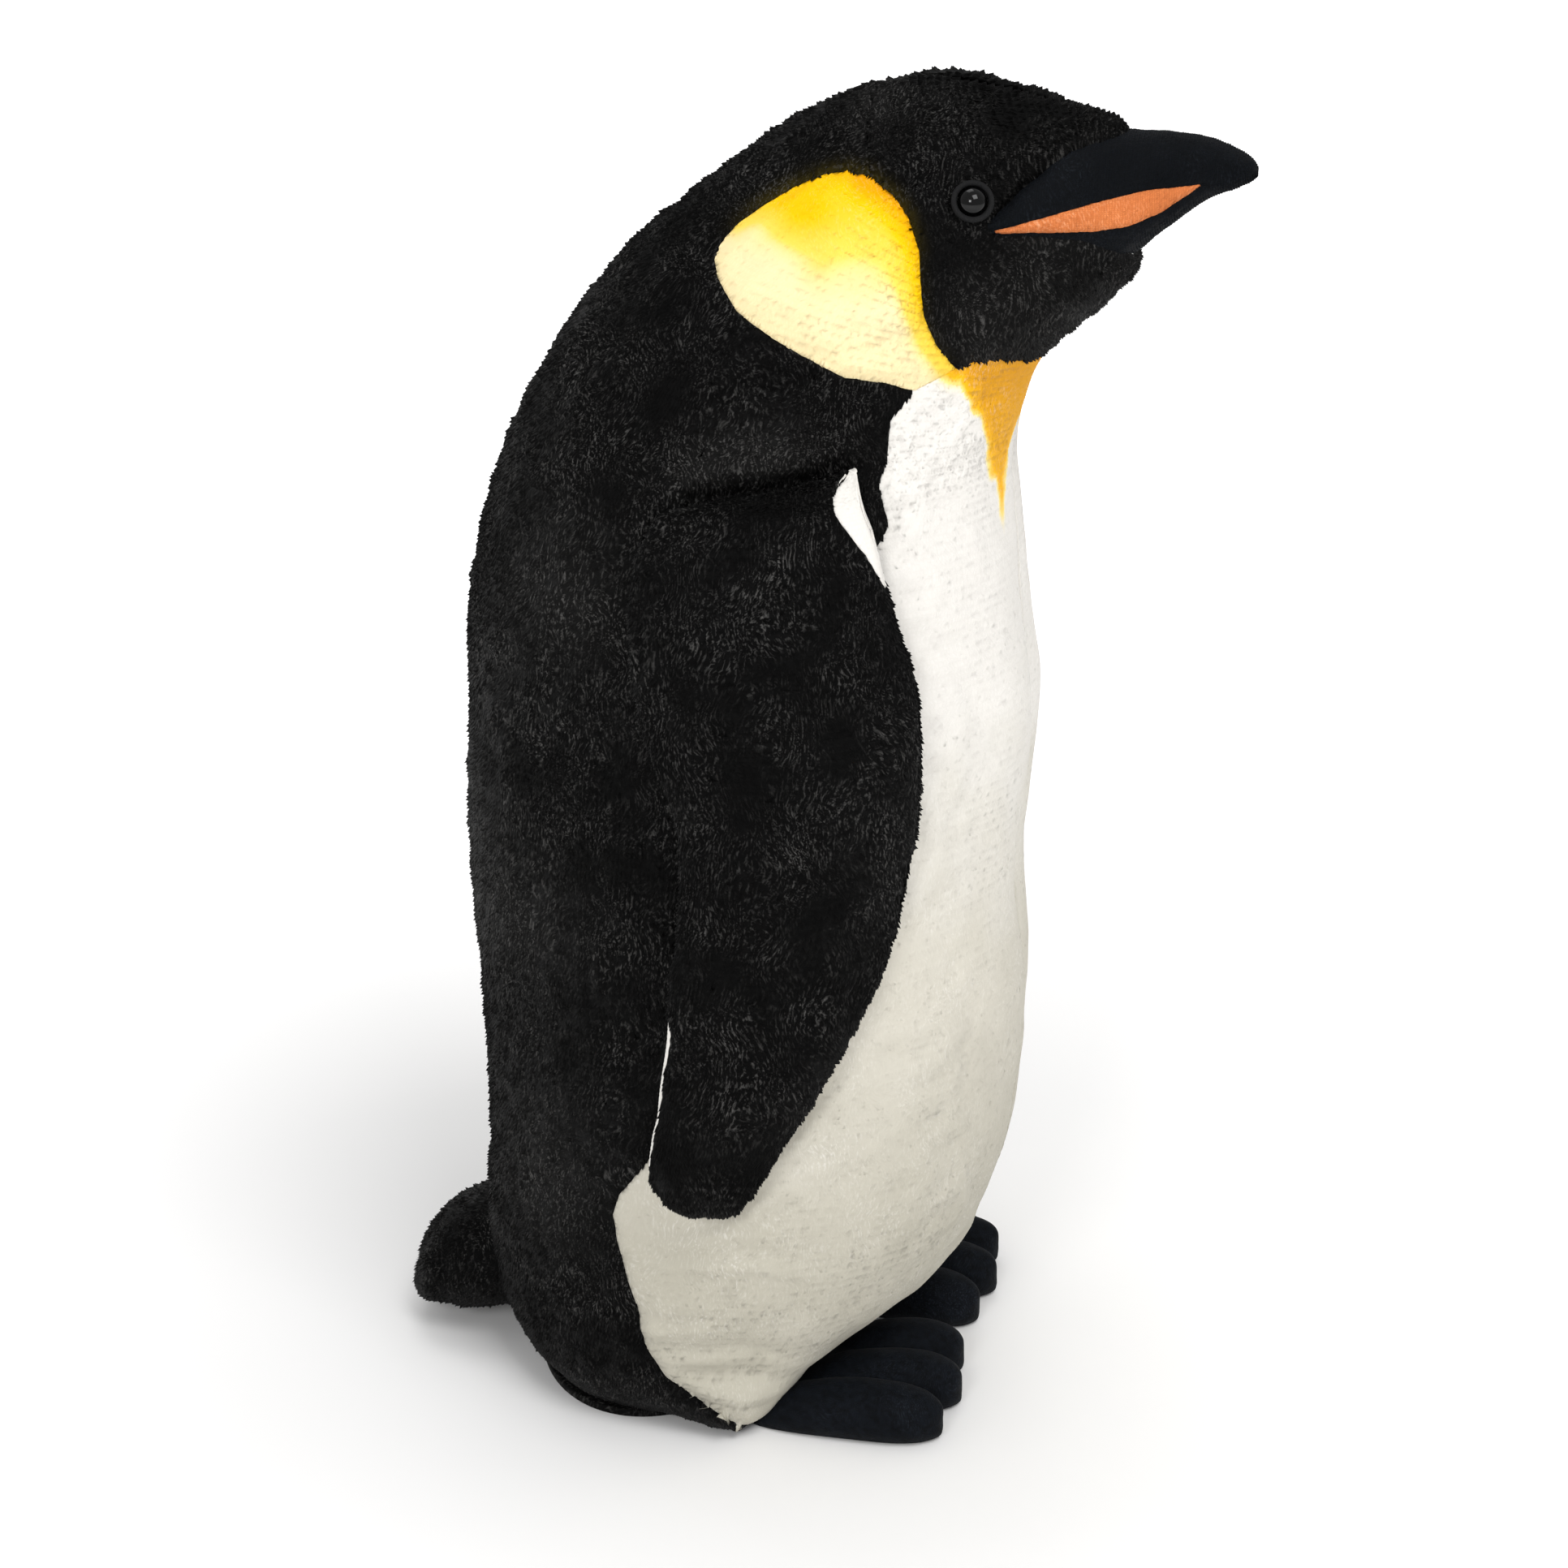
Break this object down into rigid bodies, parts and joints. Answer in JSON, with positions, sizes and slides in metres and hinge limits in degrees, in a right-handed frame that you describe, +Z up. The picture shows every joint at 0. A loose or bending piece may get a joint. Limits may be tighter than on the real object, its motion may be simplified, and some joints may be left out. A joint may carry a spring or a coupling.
{
  "type": "plush penguin",
  "caption": "Large standing plush penguin with flippers that swing out at the shoulder, a tail that lifts, stuffed feet, plastic eyes and a soft beak.",
  "frame": {"origin": "on the floor under the middle of the body, on the underside of the base panel", "axes": "+Z up, -Y the way the penguin faces, +X the penguin's own left"},
  "size_m": [0.303, 0.379, 0.6091],
  "materials": {
    "black_plush": "short-pile plush, matte",
    "white_plush": "short-pile plush, matte",
    "yellow_plush": "short-pile plush shaded from yellow to cream",
    "navy_velour": "velour, matte",
    "orange_velour": "velour, matte",
    "polyester_stuffing": "loose fibre filling",
    "pellet_bag_cloth": "woven cotton",
    "eye_plastic": "polished black",
    "eye_rim_felt": "felt, matte",
    "washer_plastic": "plain moulded"
  },
  "bodies": {
    "torso": {"back_panel_left": "black_plush", "back_panel_right": "black_plush", "hood_left": "black_plush", "hood_right": "black_plush", "base_panel": "black_plush", "belly_panel_left": "white_plush", "belly_panel_right": "white_plush", "cheek_patch_left": "yellow_plush", "cheek_patch_right": "yellow_plush", "body_stuffing": "polyester_stuffing", "pellet_bag": "pellet_bag_cloth", "eye_left": "eye_plastic", "eye_right": "eye_plastic", "eye_rim_left": "eye_rim_felt", "eye_rim_right": "eye_rim_felt", "eye_washer_left": "washer_plastic", "eye_washer_right": "washer_plastic", "beak_upper": "navy_velour", "beak_lower": "navy_velour", "beak_stripe_left": "orange_velour", "beak_stripe_right": "orange_velour", "beak_stuffing": "polyester_stuffing"},
    "flipper_left": {"flipper_outer_left": "black_plush", "flipper_lining_left": "white_plush", "flipper_stuffing_left": "polyester_stuffing"},
    "flipper_right": {"flipper_outer_right": "black_plush", "flipper_lining_right": "white_plush", "flipper_stuffing_right": "polyester_stuffing"},
    "tail": {"tail_upper": "black_plush", "tail_lower": "black_plush", "tail_stuffing": "polyester_stuffing"},
    "foot_left": {"foot_upper_left": "navy_velour", "foot_sole_left": "navy_velour", "foot_stuffing_left": "polyester_stuffing"},
    "foot_right": {"foot_upper_right": "navy_velour", "foot_sole_right": "navy_velour", "foot_stuffing_right": "polyester_stuffing"}
  },
  "joints": [
    {"name": "flipper_left_swing", "type": "hinge", "parent": "torso", "child": "flipper_left", "pos_m": [0.108, 0, 0.445], "axis": [0, -1, 0], "range_deg": [0, 80]},
    {"name": "flipper_right_swing", "type": "hinge", "parent": "torso", "child": "flipper_right", "pos_m": [-0.108, 0, 0.445], "axis": [0, 1, 0], "range_deg": [0, 80]},
    {"name": "tail_lift", "type": "hinge", "parent": "torso", "child": "tail", "pos_m": [0, 0.1125, 0.0635], "axis": [1, 0, 0], "range_deg": [0, 35]},
    {"name": "foot_left_flex", "type": "hinge", "parent": "torso", "child": "foot_left", "pos_m": [0.056, -0.03, 0.004], "axis": [-1, 0, 0], "range_deg": [0, 8]},
    {"name": "foot_right_flex", "type": "hinge", "parent": "torso", "child": "foot_right", "pos_m": [-0.056, -0.03, 0.004], "axis": [-1, 0, 0], "range_deg": [0, 8]}
  ]
}
